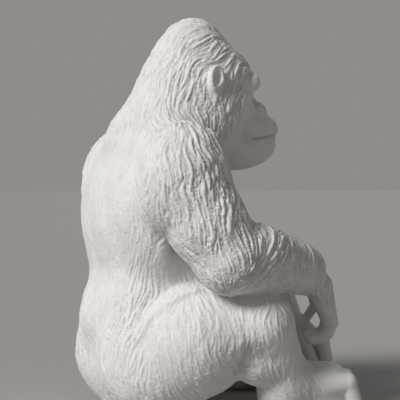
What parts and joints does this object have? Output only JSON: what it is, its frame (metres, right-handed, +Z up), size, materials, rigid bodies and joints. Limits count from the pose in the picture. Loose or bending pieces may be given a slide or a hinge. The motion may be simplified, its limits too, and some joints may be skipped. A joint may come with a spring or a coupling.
{
  "type": "gorilla figurine",
  "caption": "Seated gorilla figurine, knees drawn up, forearms resting on them and the hands loosely clasped, cast in matt white with carved fur.",
  "frame": {"origin": "middle of the figure's bounding box, on the floor", "axes": "+Z up; the gorilla faces -Y, and its right side is at -X"},
  "size_m": [0.5976, 0.5248, 0.7619],
  "materials": {
    "matt_white": "matt, cast resin with a white coat"
  },
  "bodies": {
    "root": {"gorilla_figurine": "matt_white"}
  },
  "joints": []
}
